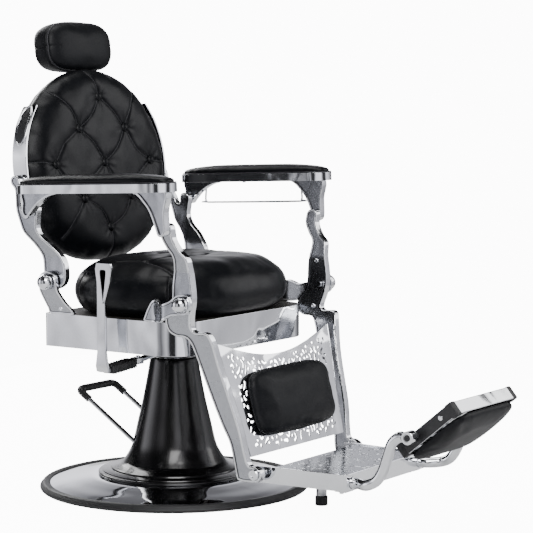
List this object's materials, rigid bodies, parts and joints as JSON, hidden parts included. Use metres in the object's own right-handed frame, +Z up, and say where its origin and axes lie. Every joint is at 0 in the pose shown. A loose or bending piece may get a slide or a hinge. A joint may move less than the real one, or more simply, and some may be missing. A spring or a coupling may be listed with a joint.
{
  "type": "hydraulic barber chair",
  "caption": "Reclining hydraulic barber chair with linked side frames, button-tufted seat and back, headrest, swinging legrest, folding footrest and pump pedal.",
  "frame": {"origin": "centre of the base's underside, on the lifting column's axis, at floor level", "axes": "+Z up, -Y towards the front where the footrest is, +X towards the sitter's left"},
  "size_m": [0.732, 1.2248, 1.132],
  "materials": {
    "polished_chrome": "mirror-polished chrome plate",
    "cast_chrome": "cast, polished and chrome plated",
    "black_rubber": "matt moulded rubber",
    "gloss_black": "high-gloss black enamel",
    "black_shell": "gloss black moulded shell",
    "dark_steel": "satin black paint",
    "machined_steel": "turned and ground",
    "plywood": "unfinished birch plywood",
    "black_leather": "soft, slightly glossy upholstery hide"
  },
  "bodies": {
    "base": {"base_plate": "polished_chrome", "base_rim": "black_rubber", "column_cover": "gloss_black", "pump_cylinder": "machined_steel", "cylinder_cap": "dark_steel"},
    "pedal": {"pedal_shaft": "machined_steel", "pedal_rod_left": "polished_chrome", "pedal_rod_right": "polished_chrome", "pedal_grip": "black_rubber"},
    "ram": {"lift_ram": "polished_chrome"},
    "seat": {"seat_band": "polished_chrome", "seat_board": "plywood", "seat_cushion": "black_leather", "seat_support": "dark_steel", "front_bracket_left": "cast_chrome", "front_bracket_right": "cast_chrome", "rear_bracket_left": "cast_chrome", "rear_bracket_right": "cast_chrome", "front_pivot_left": "polished_chrome", "front_pivot_right": "polished_chrome", "rear_pivot_left": "polished_chrome", "rear_pivot_right": "polished_chrome", "lever_bracket": "dark_steel"},
    "lever": {"recline_lever": "polished_chrome", "lever_sleeve": "black_rubber", "lever_shaft": "machined_steel"},
    "back": {"rear_frame_left": "cast_chrome", "rear_frame_right": "cast_chrome", "back_strap_left": "polished_chrome", "back_strap_right": "polished_chrome", "back_shell": "black_shell", "back_cushion": "black_leather", "headrest_socket": "dark_steel"},
    "headrest": {"headrest_post": "polished_chrome", "headrest_cushion": "black_leather"},
    "legrest": {"front_frame_left": "cast_chrome", "front_frame_right": "cast_chrome", "legrest_panel": "polished_chrome", "calf_pad": "black_leather", "leg_bolt_left": "polished_chrome", "leg_bolt_right": "polished_chrome"},
    "footrest": {"footplate_frame": "polished_chrome", "tread_plate": "polished_chrome", "foot_post": "polished_chrome", "foot_post_cap": "black_rubber", "foot_tube_left": "polished_chrome", "foot_tube_right": "polished_chrome", "tube_boss_left": "polished_chrome", "tube_boss_right": "polished_chrome"},
    "foot_panel": {"foot_panel_tray": "polished_chrome", "foot_panel_pad": "black_leather", "panel_hinge_left": "dark_steel", "panel_hinge_right": "dark_steel"},
    "arm_left": {"armrest_tray_left": "cast_chrome", "armrest_pad_left": "black_leather", "towel_bar": "polished_chrome"},
    "arm_right": {"armrest_tray_right": "cast_chrome", "armrest_pad_right": "black_leather"}
  },
  "joints": [
    {"name": "chair_lift", "type": "slide", "parent": "base", "child": "ram", "axis": [0, 0, 1], "range_m": [0, 0.16]},
    {"name": "seat_swivel", "type": "hinge", "parent": "ram", "child": "seat", "pos_m": [0, 0, 0.33], "axis": [0, 0, 1], "continuous": true},
    {"name": "recline", "type": "hinge", "parent": "seat", "child": "back", "pos_m": [0, 0.146, 0.521], "axis": [-1, 0, 0], "range_deg": [0, 45]},
    {"name": "leg_swing", "type": "hinge", "parent": "seat", "child": "legrest", "pos_m": [0, -0.249, 0.491], "axis": [-1, 0, 0], "range_deg": [0, 45]},
    {"name": "arm_left_link", "type": "hinge", "parent": "back", "child": "arm_left", "pos_m": [0.323, 0.184, 0.688], "axis": [-1, 0, 0], "range_deg": [-45, 0]},
    {"name": "arm_right_link", "type": "hinge", "parent": "back", "child": "arm_right", "pos_m": [-0.323, 0.184, 0.688], "axis": [-1, 0, 0], "range_deg": [-45, 0]},
    {"name": "headrest_slide", "type": "slide", "parent": "back", "child": "headrest", "axis": [0, 0.1149, 0.9934], "range_m": [0, 0.08]},
    {"name": "footplate_fold", "type": "hinge", "parent": "legrest", "child": "footrest", "pos_m": [0, -0.391, 0.106], "axis": [-1, 0, 0], "range_deg": [0, 50]},
    {"name": "foot_panel_flip", "type": "hinge", "parent": "footrest", "child": "foot_panel", "pos_m": [0, -0.765, 0.221], "axis": [1, 0, 0], "range_deg": [0, 180]},
    {"name": "pump_pedal", "type": "hinge", "parent": "base", "child": "pedal", "pos_m": [0, 0.058, 0.105], "axis": [-1, 0, 0], "range_deg": [0, 25], "stiffness_Nm_per_rad": 14, "springref_deg": -20.05},
    {"name": "recline_lever", "type": "hinge", "parent": "seat", "child": "lever", "pos_m": [-0.3065, -0.022, 0.341], "axis": [-1, 0, 0], "range_deg": [0, 20], "stiffness_Nm_per_rad": 6, "springref_deg": -14.32}
  ],
  "couplings": [
    {"joint": "leg_swing", "follows": "recline", "ratio": 1},
    {"joint": "arm_left_link", "follows": "recline", "ratio": -1},
    {"joint": "arm_right_link", "follows": "recline", "ratio": -1}
  ]
}
